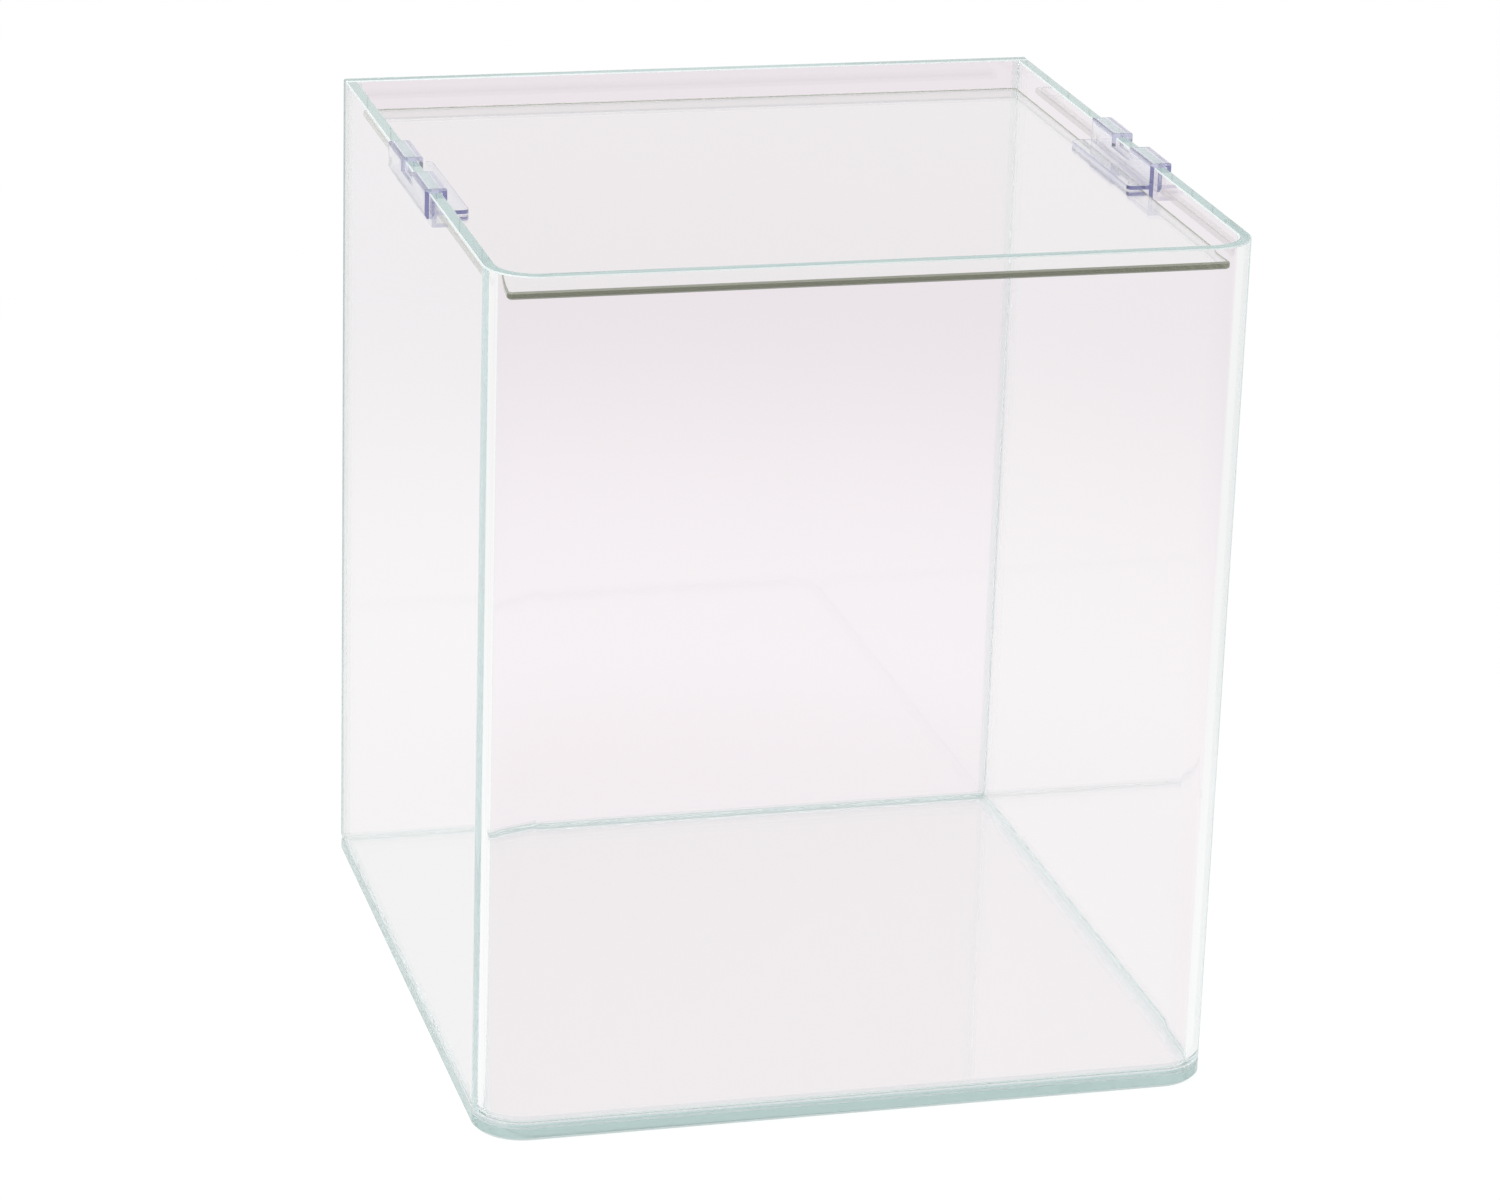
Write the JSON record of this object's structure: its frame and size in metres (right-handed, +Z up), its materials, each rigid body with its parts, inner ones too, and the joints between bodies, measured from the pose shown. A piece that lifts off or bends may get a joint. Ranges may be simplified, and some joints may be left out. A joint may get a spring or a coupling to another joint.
{
  "type": "cube aquarium",
  "caption": "Rimless cube glass aquarium with a bent front pane, a thicker base, and a loose cover glass held below the rim by clear clips that hook over the side walls.",
  "frame": {"origin": "middle of the underside of the base pane, on the surface that the tank stands on", "axes": "+Z up, +X towards the right wall, -Y towards the bent front"},
  "size_m": [0.304, 0.3062, 0.3519],
  "materials": {
    "tank_glass": "clear float glass with pale blue-green polished edges and ground arrises",
    "cover_glass": "clear float glass with darker olive ground edges",
    "clear_silicone": "clear silicone sealant, tooled smooth",
    "clear_plastic": "clear moulded plastic with violet edges"
  },
  "bodies": {
    "tank": {"base_pane": "tank_glass", "bent_pane": "tank_glass", "back_pane": "tank_glass", "base_seal": "clear_silicone", "corner_seal_left": "clear_silicone", "corner_seal_right": "clear_silicone"},
    "cover": {"cover_glass": "cover_glass"},
    "left_cover_clip": {"clip_left": "clear_plastic"},
    "right_cover_clip": {"clip_right": "clear_plastic"}
  },
  "joints": [
    {"name": "cover_lift", "type": "slide", "parent": "tank", "child": "cover", "axis": [0, 0, 1], "range_m": [0, 0.1]},
    {"name": "left_clip_slide", "type": "slide", "parent": "cover", "child": "left_cover_clip", "axis": [0, 1, 0], "range_m": [-0.098, 0.09]},
    {"name": "right_clip_slide", "type": "slide", "parent": "cover", "child": "right_cover_clip", "axis": [0, 1, 0], "range_m": [-0.095, 0.093]}
  ]
}
